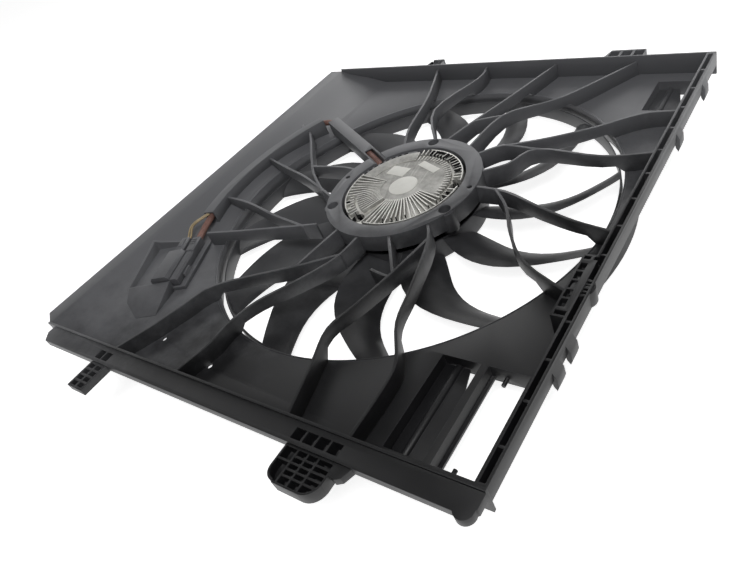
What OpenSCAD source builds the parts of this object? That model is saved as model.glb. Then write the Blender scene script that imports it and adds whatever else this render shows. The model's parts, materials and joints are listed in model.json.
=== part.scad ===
// Radiator cooling fan module: moulded shroud, stator arms, external rotor motor,
// finned electronics cover, swept fan wheel, air flaps and motor lead.
// The duct stands on z = 0 and the frame faces up. All sizes are in millimetres.

/* [Shroud] */
// Height from the duct outlet to the top of the outer frame
frame_top = 60; // [56:1:72]
// Depth of the shroud plate below the top of the frame
plate_drop = 24.5; // [20:0.5:28]
// Wall thickness of the moulding
wall = 2.5; // [2:0.1:3.5]
// Radius of the round fan opening
opening_r = 242; // [236:1:248]
// Growth of the duct radius towards its outlet
duct_flare = 10; // [0:1:14]
// Distance from the fan axis to the left edge of the shroud
left_reach = 336; // [325:1:350]
// Distance from the fan axis to the inner wall of the ladder frame
right_reach = 259.5; // [256:0.5:275]
// Distance from the fan axis to the outer face of the lower wall
lower_reach = 309; // [300:1:320]
// Distance from the fan axis to the outer face of the upper wall
upper_reach = 286; // [280:1:300]
// Width of the flange outside the lower wall
flange_w = 19; // [14:1:24]
// Width of the strip along the left edge
left_strip = 23; // [16:1:28]
// Width of the channel in the ladder frame
channel_w = 5; // [4:0.5:8]
// Height of the outer wall of the ladder frame
outer_skirt = 16; // [12:1:20]
// Spacing of the cross ribs in the ladder frame
ladder_pitch = 40; // [30:1:50]
// Reach of the snap hooks past the ladder frame
hook_out = 3; // [2:0.5:6]
// Reach of the locating feet past the lower flange
foot_out = 32; // [26:1:40]
// Reach of the fixing tabs past the upper wall
tab_out = 20; // [16:1:26]

/* [Stator] */
// Outer radius of the motor carrier ring
ring_r = 94; // [92:0.5:98]
// Bore radius of the motor carrier ring
ring_bore_r = 75; // [74.5:0.5:77]
// Height of the motor carrier ring
ring_h = 24; // [20:1:26]
// Thickness of the stator arms
arm_w = 3; // [2.4:0.1:4]
// Width of the cable duct arm between its walls
lead_duct_w = 11; // [9:0.5:14]

/* [Motor] */
// Radius of the circle that the motor fixing screws stand on
fixing_r = 86; // [84:0.5:88]
// Radius of the finned cover
cover_r = 71.5; // [70:0.5:72.5]
// Depth of the cooling fins
fin_h = 7; // [5:0.5:9]
// Number of cooling fins in a full turn
fin_count = 72; // [60:6:84]
// Radius of the motor shaft
shaft_r = 4; // [3:0.5:5]
// Running clearance between shaft and bearings
shaft_clear = 0.04; // [0.02:0.01:0.08]
// Outer radius of the ball bearings
bearing_r = 11; // [10:0.5:12]
// Outer radius of the stator core
core_r = 52.6; // [50:0.2:52.6]
// Radial air gap between core and magnets
air_gap = 0.7; // [0.5:0.1:1]
// Number of stator teeth
tooth_count = 12; // [9:3:15]
// Number of magnets
magnet_count = 14; // [10:2:16]
// Outer radius of the rotor can
can_r = 60; // [59:0.5:64]

/* [Fan wheel] */
// Outer radius of the fan hub
hub_r = 89; // [86:0.5:90]
// Number of blades
blade_count = 12; // [9:1:15]
// Outer radius of the ring round the blade tips
tip_ring_r = 238; // [234:1:239]
// Height of the ring round the blade tips
tip_ring_h = 17; // [15:1:22]
// Blade thickness
blade_t = 2.6; // [2:0.1:4]
// Pitch of the blades at mid radius in degrees
blade_pitch = 25; // [18:1:28]
// Angle of the first blade
blade_start = -50; // [-60:0.5:-30]

/* [Air flaps] */
// Distance from the ladder frame to the first pair of window edges
window_gap = 13; // [10:1:16]
// Width of each air window
window_w = 38; // [34:1:42]
// Length of the two lower windows
window_len = 97; // [80:1:104]
// Length of the upper window
upper_window_len = 66; // [50:1:72]
// Depth of the walls round each window
window_depth = 18; // [14:1:20]
// Gap between a flap and its window
flap_gap = 0.8; // [0.5:0.1:1.5]
// Radius of the flap pins
pin_r = 2; // [1.5:0.1:2.5]
// Running clearance between flap and pins
pin_clear = 0.06; // [0.03:0.01:0.1]

/* [Motor lead] */
// Radius of the motor lead
lead_r = 4; // [3:0.5:4.5]
// Radius of the two signal wires
wire_r = 1.3; // [1:0.1:1.8]

/* [Hidden] */
$fn = 48;
eps = 0.01;

// Levels
plate_top = frame_top - plate_drop;
plate_low = plate_top - wall;
ring_top = frame_top - 2;
ring_low = ring_top - ring_h;
base_t = 4;
base_low = ring_low - base_t;
cover_top = ring_top - 1;
hub_low = 2;
hub_t = 3;
hub_top = base_low - 1.5;
can_low = hub_low + hub_t;
can_t = 2.5;
core_h = 14;
core_low = can_low + can_t + 4;

// The frame's origin is under the middle of the whole part, so the fan axis stands off it
ladder_w = 2 * wall + channel_w;
right_tip = right_reach + ladder_w + hook_out;
foot_tip = lower_reach + flange_w + foot_out;
tab_tip = upper_reach + tab_out;
axis_x = (left_reach - right_tip) / 2;
axis_y = (foot_tip - tab_tip) / 2;
module at_axis() {
    translate([axis_x, axis_y, 0]) children();
}

// Smooth curve through a list of points, and a strip of even width along it
function blend(a, b, c, d, t) = 0.5 * (2 * b + (c - a) * t + (2 * a - 5 * b + 4 * c - d) * t * t
    + (3 * b - a - 3 * c + d) * t * t * t);
function smooth(p, n) = [
    for (i = [0:len(p) - 2]) for (k = [0:n - 1])
        blend(p[max(i - 1, 0)], p[i], p[i + 1], p[min(i + 2, len(p) - 1)], k / n),
    p[len(p) - 1]
];
function unit(v) = v / norm(v);
function along(p, i) = unit(p[min(i + 1, len(p) - 1)] - p[max(i - 1, 0)]);
function offset_point(p, i, d) = p[i] + d * [-along(p, i)[1], along(p, i)[0]];
module strip(p, w) {
    n = len(p) - 1;
    polygon(concat([for (i = [0:n]) offset_point(p, i, w / 2)],
        [for (i = [n:-1:0]) offset_point(p, i, -w / 2)]));
}
module block(low, high) {
    translate(low) cube(high - low);
}
function polar(r, a) = [r * cos(a), r * sin(a)];

// Surface of the shroud plate, seen from the lower side: flat, then rising to the left strip.
// Each bend of the ramp keeps its distance from the left edge.
ramp = [[-left_reach, frame_top - 3], [-left_reach + left_strip, frame_top - 3],
    [-left_reach + 40, frame_top - 9], [-left_reach + 80, frame_top - 17],
    [-left_reach + 109, plate_top]];
module across(y0, y1) {
    translate([0, y1, 0]) rotate([90, 0, 0]) linear_extrude(y1 - y0) children();
}
module under_surface(low) {
    polygon(concat([[right_reach, low], [-left_reach, low]], ramp, [[right_reach, plate_top]]));
}

// Windows: left edge, lower edge and length of each, about the fan axis
window_2 = right_reach - window_gap - window_w;
window_1 = window_2 - window_w - 7;
window_low = -lower_reach + wall + 12;
upper_window_y = upper_reach - 88;
windows = [[window_1, window_low, window_len], [window_2, window_low, window_len],
    [window_2, upper_window_y, upper_window_len]];
pivot_in = 14.5;
flap_t = 2;
pivot_z = plate_top - 11.5;

module window_walls(w) {
    difference() {
        block([w[0] - wall, w[1] - wall, plate_top - window_depth],
            [w[0] + window_w + wall, w[1] + w[2] + wall, plate_low]);
        block([w[0], w[1], -1], [w[0] + window_w, w[1] + w[2], frame_top]);
    }
    // ledge that the short side of the flap rests on
    block([w[0] - eps, w[1] - eps, pivot_z - 4], [w[0] + 3, w[1] + w[2] + eps, pivot_z - flap_t / 2 - 0.3]);
    // pins at both ends
    for (s = [0, 1])
        translate([w[0] + pivot_in, w[1] + s * w[2], pivot_z])
            rotate([s == 0 ? -90 : 90, 0, 0]) translate([0, 0, -1]) cylinder(r = pin_r, h = 9);
}

module shroud_panel() {
    color([0.16, 0.16, 0.17]) at_axis() {
        difference() {
            across(-lower_reach + wall, upper_reach - wall)
                difference() {
                    under_surface(plate_low - 1);
                    translate([0, -wall]) under_surface(plate_low - 3 - wall);
                }
            translate([0, 0, -1]) cylinder(r = opening_r + wall, h = 90, $fn = 120);
            for (w = windows)
                block([w[0], w[1], -1], [w[0] + window_w, w[1] + w[2], frame_top]);
            tray_space(tray_top - wall, wall);
            for (h = [[-157, -lower_reach + 41], [-66, -lower_reach + 29]])
                translate([h[0], h[1], 0]) cylinder(r = 3, h = 90);
            linear_extrude(90) polygon([[-left_reach - 1, -lower_reach], [-left_reach - 1, -lower_reach + 14],
                [-left_reach + left_strip + 1, -lower_reach]]);
        }
        for (w = windows) window_walls(w);
    }
}

// Round duct through the plate, flared towards the outlet
module fan_duct() {
    color([0.13, 0.13, 0.14]) at_axis() intersection() {
        rotate_extrude($fn = 120) polygon([
            [opening_r, 90], [opening_r, plate_low - 8], [opening_r + duct_flare, 0],
            [opening_r + duct_flare + wall, 0], [opening_r + wall, plate_low - 8],
            [opening_r + wall, 90]]);
        across(-lower_reach + wall, upper_reach - wall) under_surface(-1);
    }
}

// Lower side: wall, flange with windows, and two hollow locating feet that start below the windows
flange_top = frame_top - 2.5;
small_foot_x = -180;
small_foot_h = 8;
small_foot_w = 26;
large_foot_x = 125;
foot_floor = 3;
window_near = 4;
window_far = 14;
module foot_windows(first, pitch, count, w, low) {
    for (i = [0:count - 1]) 
        block([first + i * pitch, window_near, low], [first + i * pitch + w, window_far, 90]);
}
module at_flange_edge(x, z) {
    translate([x, -lower_reach - flange_w, z]) children();
}
module small_windows(low) { foot_windows(2, 12, 2, 10, low); }
module large_windows(low) { foot_windows(1.5, 12.9, 4, 11, low); }
module small_foot(w, rows, cols) {
    cell_w = (w - wall * (cols + 1)) / cols;
    cell_l = (foot_out - wall * (rows + 1)) / rows;
    at_flange_edge(small_foot_x - w / 2, flange_top - wall - small_foot_h) difference() {
        block([0, -foot_out, 0], [w, window_far + 2, small_foot_h]);
        for (i = [0:cols - 1]) for (k = [0:rows - 1])
            block([wall + i * (cell_w + wall), -foot_out + wall + k * (cell_l + wall), foot_floor],
                [(i + 1) * (cell_w + wall), -foot_out + (k + 1) * (cell_l + wall), small_foot_h + 1]);
        small_windows(foot_floor);
    }
}
large_foot_h = 12;
rib_w = 1.8;
large_foot_w = 53;
module large_foot_outline(inset) {
    translate([38, -17]) circle(r = 15 - inset);
    translate([11, -20]) circle(r = 11 - inset);
    translate([inset, -19]) square([large_foot_w - 2 * inset, 19 - inset]);
    translate([11, -foot_out + inset]) square([28, 20]);
}
module large_foot() {
    at_flange_edge(large_foot_x - large_foot_w / 2, flange_top - wall - large_foot_h) {
        difference() {
            union() {
                linear_extrude(large_foot_h) large_foot_outline(0);
                block([0, -1, 0], [large_foot_w, window_far + 2, large_foot_h]);
            }
            translate([0, 0, foot_floor]) linear_extrude(large_foot_h) difference() {
                large_foot_outline(rib_w);
                for (x = [14, 25, 36]) translate([x, -40]) square([rib_w, 40]);
                for (y = [-8, -13.5, -19, -24.5]) translate([14, y]) square([39, rib_w]);
                translate([0, -13.5]) square([15, rib_w]);
            }
            large_windows(foot_floor);
        }
        translate([large_foot_w - 1, -10, large_foot_h - 7]) linear_extrude(7)
            polygon([[0, 11], [16, 11], [12, 1], [7, -2], [0, 0]]);
    }
}
corner_lobe_r = 8;
module flange_plan(x1) {
    y1 = -lower_reach - flange_w;
    polygon([[-300, -lower_reach + eps], [-300, y1 + 10], [-290, y1], [x1 - 7, y1], [x1, y1 + 7],
        [x1, -lower_reach + eps]]);
    translate([x1 - corner_lobe_r - 1, y1 + corner_lobe_r / 2]) circle(r = corner_lobe_r);
}
module lower_frame() {
    color([0.14, 0.14, 0.15]) at_axis() {
        x0 = -left_reach + left_strip;
        x1 = right_reach + ladder_w;
        block([x0, -lower_reach, plate_low], [x1, -lower_reach + wall, frame_top]);
        difference() {
            union() {
                translate([0, 0, flange_top - wall]) linear_extrude(wall) flange_plan(x1);
                translate([0, 0, flange_top - 8]) linear_extrude(8) difference() {
                    flange_plan(x1);
                    translate([0, wall]) flange_plan(x1 - wall);
                }
            }
            at_flange_edge(small_foot_x - small_foot_w / 2, 0) small_windows(0);
            at_flange_edge(large_foot_x - large_foot_w / 2, 0) large_windows(0);
        }
        small_foot(small_foot_w, 4, 2);
        large_foot();
    }
}

// Right side: two walls tied by cross ribs, a wider bracket and snap hooks
bracket_low = -152;
bracket_high = -77;
bracket_in = 12;
module bracket_block() {
    block([right_reach - bracket_in, bracket_low, plate_top], [right_reach + wall, bracket_high, frame_top]);
}
module bracket_cells() {
    for (i = [0:4]) block([right_reach - bracket_in + 2, -141 + i * 11, frame_top - 6],
        [right_reach - 4, -132 + i * 11, frame_top + 1]);
    for (i = [0:1]) block([right_reach - bracket_in + 2 + i * 9, bracket_high - 6, frame_top - 9],
        [right_reach - 4 + i * 9, bracket_high - 2, frame_top + 1]);
    block([right_reach - bracket_in + 2, bracket_low + 2, frame_top - 9],
        [right_reach, bracket_low + 7, frame_top + 1]);
}
module side_frame() {
    color([0.15, 0.15, 0.16]) at_axis() {
        x0 = right_reach;
        x1 = right_reach + ladder_w;
        y0 = -lower_reach + wall;
        y1 = upper_reach - wall;
        difference() {
            union() {
                difference() {
                    block([x0, y0, plate_low], [x1, y1, frame_top]);
                    block([x0 + wall, y0 + wall, plate_low - 1], [x1 - wall, y1 - wall, frame_top + 1]);
                    block([x0 + wall, y0 - 1, plate_low - 1], [x1 + 1, y1 + 1, frame_top - outer_skirt]);
                }
                bracket_block();
            }
            bracket_cells();
        }
        difference() {
            union() {
                block([x0 - 6, -126, frame_top - outer_skirt], [x0 + 3, -105, frame_top - 1]);
                translate([x0 + 2, -115.5, frame_top - outer_skirt]) cylinder(r = 10.5, h = outer_skirt - 1);
            }
            for (i = [0:3]) for (k = [0:1])
                block([x0 - 4.5 + k * 7.5, -123 + i * 4.2, frame_top - 8],
                    [x0 + 1.5 + k * 7.5, -120.6 + i * 4.2, frame_top]);
        }
        for (y = [y0 + ladder_pitch - 8:ladder_pitch:y1 - 10])
            block([x0 + eps, y - 1.2, frame_top - outer_skirt], [x1 - eps, y + 1.2, frame_top - 1]);
        block([x0 + eps, y0, frame_top - outer_skirt], [x1 - eps, y1, frame_top - outer_skirt + wall]);
        for (y = [236, 136, -161, -188]) hook(x1, y);
    }
}
module hook(x, y) {
    translate([x - eps, y, frame_top - outer_skirt]) rotate([90, 0, 0])
        linear_extrude(14) polygon([[-wall, 1], [0, 10], [hook_out, 3], [hook_out, -6], [1, -11.5],
            [-1.5, -7]]);
}

// Upper side: wall and two ribbed fixing tabs
module upper_frame() {
    color([0.36, 0.36, 0.37]) at_axis() {
        x0 = -left_reach + left_strip;
        block([x0, upper_reach - wall, plate_low], [right_reach + ladder_w, upper_reach, frame_top]);
        for (t = [[-129, 30], [161, 56]]) tab(t[0], t[1]);
    }
}
module tab(x, w) {
    difference() {
        translate([x, upper_reach, frame_top - 18]) linear_extrude(16)
            polygon([[-w / 2, -eps], [-w / 2 + 6, tab_out], [w / 2 - 6, tab_out], [w / 2, -eps]]);
        for (i = [-1:1]) block([x + i * (w / 3 - 3) - w / 9, upper_reach + 3, frame_top - 15],
            [x + i * (w / 3 - 3) + w / 9, upper_reach + tab_out - 3, frame_top]);
        translate([x, upper_reach + tab_out / 2, 0]) cylinder(r = 3.2, h = 90);
    }
}

// Motor carrier ring, open where the motor lead goes in, with three screw pockets
fixing_angle = 95.5;
module motor_carrier() {
    color([0.3, 0.3, 0.31]) at_axis() difference() {
        union() {
            rotate_extrude($fn = 96) polygon([[ring_bore_r, ring_low + 1], [ring_bore_r + wall, ring_low + 1],
                [ring_bore_r + wall, ring_top - 3], [ring_r - wall, ring_top - 3],
                [ring_r - wall, ring_low + 4], [ring_r, ring_low + 4], [ring_r, ring_top],
                [ring_bore_r, ring_top]]);
            for (k = [0:2]) rotate(fixing_angle + 120 * k) translate([fixing_r, 0, ring_low])
                cylinder(r = 10.5, h = ring_h - 1.5);
        }
        for (k = [0:2]) rotate(fixing_angle + 120 * k) translate([fixing_r, 0, 0]) {
            translate([0, 0, ring_low + 5]) cylinder(r = 6.9, h = 60);
            cylinder(r = 3.3, h = 90);
        }
        linear_extrude(90) strip(lead_duct_line, lead_duct_w + 2 * wall);
        for (a = [3, 177]) rotate(a) translate([(ring_r + ring_bore_r) / 2 + 3, 0, ring_top - 9])
            cylinder(r = 3, h = 20);
    }
}

// Stator arms: courses of their top edges about the fan axis, from ring to frame
arm_low = -lower_reach + 3;
arm_right = right_reach - 0.5;
arm_high = upper_reach - 3;
lower_courses = [
    [[84, -82], [75, -128], [62, -180], [52, -215], [64, -255], [78, arm_low]],
    [[62, -50], [85, -82], [105, -148], [116, -190], [140, -228], [145, -255], [145, arm_low]],
    [[0, -85], [-5, -128], [-30, -170], [-55, -205], [-66, -240], [-66, -265], [-77, arm_low]],
    [[-2, -122], [-50, -152], [-130, -197], [-150, -235], [-165, -270], [-185, arm_low]],
    [[34, -82], [54, -108], [74, -134]], [[47, -135], [60, -138], [73, -140]],
    [[-33, -80], [-40, -115], [-46, -150]]
];
side_courses = [
    [[82, 33], [110, 52], [132, 83], [207, 76], [arm_right, 88]],
    [[84, 8], [130, 4], [180, -16], [220, -30], [arm_right, -38]],
    [[118, 6], [143, -20], [166, -58], [198, -94], [arm_right, -124]],
    [[58, 62], [80, 83], [98, 90], [137, 106], [182, 131], [222, 160], [arm_right, 168]],
    [[85, 88], [108, 86], [132, 83]]
];
upper_courses = [
    [[-45, 72], [-68, 120], [-87, 199], [-120, arm_high]],
    [[-5, 85], [-55, 165], [-32, 250], [-36, arm_high]],
    [[4, 85], [21, 138], [45, 204], [70, arm_high]],
    [[45, 72], [54, 151], [101, 185], [126, 209], [177, arm_high]],
    [[21, 138], [38, 146], [54, 151]]
];
left_courses = [
    [[-70, -83], [-136, -101], [-187, -114], [-227, -123]],
    [[-86, -89], [-145, -77], [-209, -60], [-260, -53]],
    [[-80, -36], [-155, -1], [-209, 18], [-277, 43]],
    [[-108, -24], [-140, 0], [-167, 25], [-236, 102], [-252, 108], [-272, 126]],
    [[-166, 24], [-112, 26], [-80, 19]]
];
arm_steps = 4;
module arm_space() {
    intersection() {
        rotate_extrude($fn = 96) polygon([
            [60, ring_low], [130, ring_low + 3], [opening_r - 8, plate_top + 7],
            [opening_r + 2, plate_top - 1.5], [460, plate_top - 1.5], [460, frame_top - 10],
            [opening_r, frame_top - 5], [ring_r, ring_top - 1], [60, ring_top - 1]]);
        block([-left_reach, -lower_reach + wall, 0], [right_reach, upper_reach - wall, 90]);
    }
}
module arm_set(courses) {
    color([0.2, 0.2, 0.21]) at_axis() difference() {
        intersection() {
            linear_extrude(90) for (a = courses) strip(smooth(a, arm_steps), arm_w);
            arm_space();
        }
        translate([0, 0, ring_low + 4]) cylinder(r = ring_r, h = 60, $fn = 96);
        translate([0, 0, -1]) cylinder(r = ring_bore_r + wall, h = 90, $fn = 96);
        bracket_block();
        for (k = [0:2]) rotate(fixing_angle + 120 * k) translate([fixing_r, 0, -1])
            cylinder(r = 10.5, h = 90);
        across(-lower_reach, upper_reach) under_surface(-1);
        linear_extrude(90) strip(lead_duct_line, lead_duct_w + 2 * wall);
        linear_extrude(90) intersection() {
            trough_plan(wall + 0.2);
            trough_reach();
        }
        tray_space(0, wall + 0.3);
        lead_space();
    }
}
module lower_arms() { arm_set(lower_courses); }
module side_arms() { arm_set(side_courses); }
module upper_arms() { arm_set(upper_courses); }
module left_arms() { arm_set(left_courses); }

// Duct arm that carries the motor lead from the ring to the left of the plate
lead_duct_line = [[-56, 38], [-110, 72], [-216, 135.6]];
lead_low = ring_top - 4 - 2 * lead_r;
duct_top = ring_top - 1.2;
duct_lid = 1.5;
open_to_r = 118;
trough_r = 272;
lead_gap = 0.6;
trough_from = 150.5;
trough_to = 199.5;
module trough_plan(extra) {
    difference() {
        circle(r = trough_r + lead_r + 1 + extra, $fn = 96);
        circle(r = trough_r - lead_r - 1 - extra, $fn = 96);
    }
}
module trough_reach() {
    far = 460;
    polygon([[0, 0], polar(far, trough_from), polar(far, (trough_from + trough_to) / 2),
        polar(far, trough_to)]);
}
// Room for the motor lead on its way from the duct arm to its plug
module lead_space() {
    low = lead_low - 0.5;
    translate([0, 0, low]) linear_extrude(trough_z + lead_r + lead_gap - low)
        strip([for (q = smooth(lead_path, 3)) [q[0], q[1]]], 2 * (lead_r + lead_gap));
}
module lead_channel() {
    color([0.24, 0.24, 0.25]) at_axis() difference() {
        translate([0, 0, plate_top - 1.5]) linear_extrude(frame_top - plate_top) intersection() {
            trough_plan(wall);
            trough_reach();
        }
        translate([0, 0, trough_z - lead_r - lead_gap])
            linear_extrude(2 * (lead_r + lead_gap)) trough_plan(0);
        across(-lower_reach, upper_reach) under_surface(-1);
        lead_space();
    }
    color([0.24, 0.24, 0.25]) at_axis() difference() {
        translate([0, 0, plate_top - 1.5]) linear_extrude(duct_top - plate_top + 1.5)
            strip(lead_duct_line, lead_duct_w + 2 * wall);
        translate([0, 0, plate_top - 3]) cylinder(r = opening_r + 1, h = ring_low + 7 - plate_top, $fn = 96);
        translate([0, 0, lead_low]) linear_extrude(duct_top - duct_lid - lead_low)
            strip(lead_duct_line, lead_duct_w);
        translate([0, 0, lead_low]) linear_extrude(90) intersection() {
            strip(lead_duct_line, lead_duct_w);
            circle(r = open_to_r, $fn = 96);
        }
        // deeper where the lead comes out of the cover
        translate([0, 0, lead_low - 2.5]) linear_extrude(90) intersection() {
            strip(lead_duct_line, lead_duct_w);
            circle(r = ring_r, $fn = 96);
        }
        translate([0, 0, -1]) cylinder(r = ring_bore_r, h = 90, $fn = 96);
        across(-lower_reach, upper_reach) under_surface(-1);
    }
}

// Motor base: plate with three ears, bearing tube and board posts
tube_wall = 5;
tube_low = core_low - 2;
post_at = [40, 130, 220, 310];
board_low = ring_low + 4;
module motor_base() {
    color([0.66, 0.66, 0.64]) at_axis() difference() {
        union() {
            translate([0, 0, base_low]) cylinder(r = ring_bore_r - 1.5, h = base_t, $fn = 96);
            for (k = [0:2]) rotate(fixing_angle + 120 * k) translate([0, 0, base_low])
                linear_extrude(base_t) {
                    translate([fixing_r, 0]) circle(r = 9);
                    translate([60, -9]) square([fixing_r - 60, 18]);
                }
            translate([0, 0, tube_low]) cylinder(r = bearing_r + tube_wall, h = base_low - tube_low + 1);
            for (a = post_at) rotate(a) translate([48, 0, ring_low - 1]) cylinder(r = 3.5, h = 5);
        }
        translate([0, 0, tube_low - 1]) cylinder(r = bearing_r, h = base_low - tube_low + 3);
        for (k = [0:2]) rotate(fixing_angle + 120 * k) translate([fixing_r, 0, 0])
            cylinder(r = 2.6, h = 90);
    }
}

// Finned cover over the electronics
cover_floor = cover_top - fin_h;
cover_shell = 3;
fin_w = 1.3;
plain_to = 170;
plain_from = -15;
label_z = cover_top - 1;
module radial_fins(r0, r1, a0, a1) {
    step = 360 / fin_count;
    for (a = [a0:step:a1]) rotate(a) translate([r0, -fin_w / 2, 0]) square([r1 - r0, fin_w]);
}
module heat_sink_cover() {
    color([0.72, 0.71, 0.68]) at_axis() {
        difference() {
            translate([0, 0, ring_low]) cylinder(r = cover_r, h = cover_floor - ring_low, $fn = 96);
            translate([0, 0, ring_low - 1])
                cylinder(r = cover_r - 8, h = cover_floor - ring_low + 1 - cover_shell, $fn = 96);
            seal_groove();
            for (a = screw_angles) rotate(a) translate([cover_r - 4, 0, 0]) cylinder(r = 1.7, h = 90);
            cover_pockets(cover_floor - 4);
        }
        translate([0, 0, cover_floor - eps]) linear_extrude(fin_h - 1 + eps) {
            intersection() {
                circle(r = 54, $fn = 72);
                rotate(plain_from) polygon([[0, 0], [90, 0], [90, 90], [-90, 90],
                    polar(90, plain_to - plain_from)]);
            }
            circle(r = 29, $fn = 72);
        }
        difference() {
            translate([0, 0, cover_floor - eps]) linear_extrude(fin_h + eps) cover_fins();
            cover_pockets(cover_floor - 1);
        }
    }
}
// Dark round recesses in the rim of the cover
pocket_angles = [9, 247];
pocket_r = 7.5;
module cover_pockets(low) {
    for (a = pocket_angles) rotate(a) translate([cover_r - 6, 0, low]) cylinder(r = pocket_r, h = 30);
}
module cover_fins() {
    radial_fins(28, cover_r - 1, plain_to, 205);
    radial_fins(28, 56.5, 210, 245);
    radial_fins(60, cover_r - 1, 210, 245);
    radial_fins(28, cover_r - 1, 260, 360 + plain_from);
    radial_fins(50, 57.5, plain_from, 105);
    radial_fins(60.5, cover_r - 0.5, plain_from, 100);
    radial_fins(53, 62, 110, plain_to - 5);
    difference() {
        circle(r = cover_r - 0.2, $fn = 96);
        circle(r = cover_r - 1.6, $fn = 96);
        sector(90, 235, 262);
        sector(90, 92, 168);
    }
}
module sector(r, a0, a1) {
    polygon([[0, 0], polar(r, a0), polar(r * 1.2, (a0 + a1) / 2), polar(r, a1)]);
}
screw_angles = [30, 110, 190, 250, 320];
module seal_groove() {
    translate([0, 0, ring_low]) rotate_extrude($fn = 96)
        translate([cover_r - 2.6, -1]) square([1.6, 2.4]);
}
module cover_seal() {
    color([0.06, 0.06, 0.06]) at_axis() translate([0, 0, ring_low]) rotate_extrude($fn = 96)
        translate([cover_r - 2.5, 0]) square([1.4, 1.3]);
}
module cover_screws() {
    color([0.5, 0.5, 0.52]) at_axis() for (a = screw_angles) rotate(a)
        translate([cover_r - 4, 0, cover_floor - 6]) cylinder(r = 1.6, h = 5);
}
module motor_screws() {
    color([0.35, 0.35, 0.37]) at_axis() for (k = [0:2]) rotate(fixing_angle + 120 * k)
        translate([fixing_r, 0, 0]) {
            translate([0, 0, base_low - 1]) cylinder(r = 2.6, h = base_t + 7);
            translate([0, 0, ring_low + 5]) cylinder(r = 6.5, h = 1.5);
            translate([0, 0, ring_low + 6.5 - eps]) cylinder(r = 4.6, h = 4, $fn = 6);
        }
}
module controller_board() {
    color([0.1, 0.35, 0.2]) at_axis() translate([0, 0, board_low]) difference() {
        cylinder(r = 56, h = 1.6);
        translate([-70, 20, -1]) rotate(30) cube([30, 20, 4]);
    }
}
module board_capacitors() {
    color([0.15, 0.15, 0.18]) at_axis() for (p = [[30, 10], [30, -12], [12, -30], [-12, -30]])
        translate([p[0], p[1], board_low + 1.6]) cylinder(r = 8, h = 5.5);
}

// Stator core with T-shaped teeth, and a coil round each tooth
tooth_w = 9;
module stator_core() {
    color([0.45, 0.45, 0.47]) at_axis() translate([0, 0, core_low]) linear_extrude(core_h)
        difference() {
            union() {
                circle(r = bearing_r + tube_wall + 8);
                for (i = [0:tooth_count - 1]) rotate(i * 360 / tooth_count) {
                    translate([bearing_r + tube_wall + 4, -tooth_w / 2])
                        square([core_r - bearing_r - tube_wall - 7, tooth_w]);
                    intersection() {
                        difference() {
                            circle(r = core_r, $fn = 96);
                            circle(r = core_r - 4, $fn = 96);
                        }
                        polygon([[0, 0], polar(70, -160 / tooth_count), polar(70, 160 / tooth_count)]);
                    }
                }
            }
            circle(r = bearing_r + tube_wall);
        }
}
module stator_coils() {
    color([0.72, 0.4, 0.18]) at_axis() for (i = [0:tooth_count - 1]) rotate(i * 360 / tooth_count)
        difference() {
            block([29, -tooth_w / 2 - 2.6, core_low - 2.2],
                [47.5, tooth_w / 2 + 2.6, core_low + core_h + 2.2]);
            block([28, -tooth_w / 2 - 0.1, core_low - 0.1], [49, tooth_w / 2 + 0.1, core_low + core_h + 0.1]);
        }
}
bearing_h = 6;
bearing_top_z = base_low - bearing_h + 1;
module bearing(z) {
    color([0.6, 0.6, 0.62]) at_axis() translate([0, 0, z]) difference() {
        cylinder(r = bearing_r, h = bearing_h);
        translate([0, 0, -1]) cylinder(r = shaft_r + shaft_clear, h = bearing_h + 2);
        translate([0, 0, bearing_h - 0.8]) rotate_extrude()
            translate([shaft_r + 2, 0]) square([bearing_r - shaft_r - 4, 2]);
    }
}
module lower_bearing() { bearing(tube_low); }
module upper_bearing() { bearing(bearing_top_z); }

// Bare label faces on the cover
module cover_labels() {
    color([0.9, 0.89, 0.86]) at_axis() translate([0, 0, label_z]) linear_extrude(0.3) {
        circle(r = 17.5);
        translate([-24, 26]) rotate(-8) square([27, 17], center = true);
        translate([13, 38]) rotate(-24) square([33, 10], center = true);
    }
}

// Motor lead and signal wires: courses of their middles about the fan axis
lead_path = [[-62, 42, 48.5], [-75, 50, 50.5], [-110, 72, 50.5], [-175, 111, 50.5], [-212, 133, 50.5],
    [-222, 137.5, 50.3], [-236, 136, 50.5], [-247, 122, 51], [-255, 97, 52], [-267, 56, 52],
    [-272, 8, 52], [-269, -42, 52],
    [-262, -70, 52], [-254, -95, 51], [-250, -110, 49], [-243.8, -123.7, 48], [-241.1, -129.7, 48]];
trough_z = 52;
wire_path = [[-258, -92, 56.6], [-260, -101, 57], [-266, -111, 56], [-267.5, -119, 53.5],
    [-261.4, -129.4, 49], [-259.5, -133.9, 48.2]];
other_wire_path = [[-254, -92.5, 56.8], [-256, -101, 57.2], [-262.2, -112.2, 56.2], [-263.9, -118.5, 53.7],
    [-257.7, -127.8, 49.2], [-255.8, -132.3, 48.4]];
function ring_pts(p, i, r, n) =
    let (t = unit(p[min(i + 1, len(p) - 1)] - p[max(i - 1, 0)]),
        u = unit(cross(t, [0, 0, 1])), v = cross(u, t))
    [for (k = [0:n - 1]) p[i] + r * (cos(360 * k / n) * u + sin(360 * k / n) * v)];
module tube(p, r, n) {
    m = len(p);
    pts = [for (i = [0:m - 1]) each ring_pts(p, i, r, n)];
    sides = [for (i = [0:m - 2]) for (k = [0:n - 1])
        [i * n + k, (i + 1) * n + k, (i + 1) * n + (k + 1) % n, i * n + (k + 1) % n]];
    polyhedron(pts, concat(sides, [[for (k = [0:n - 1]) k]],
        [[for (k = [n - 1:-1:0]) (m - 1) * n + k]]));
}
module motor_lead() {
    color([0.5, 0.28, 0.24]) at_axis() tube(smooth(lead_path, 3), lead_r, 8);
}
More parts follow.
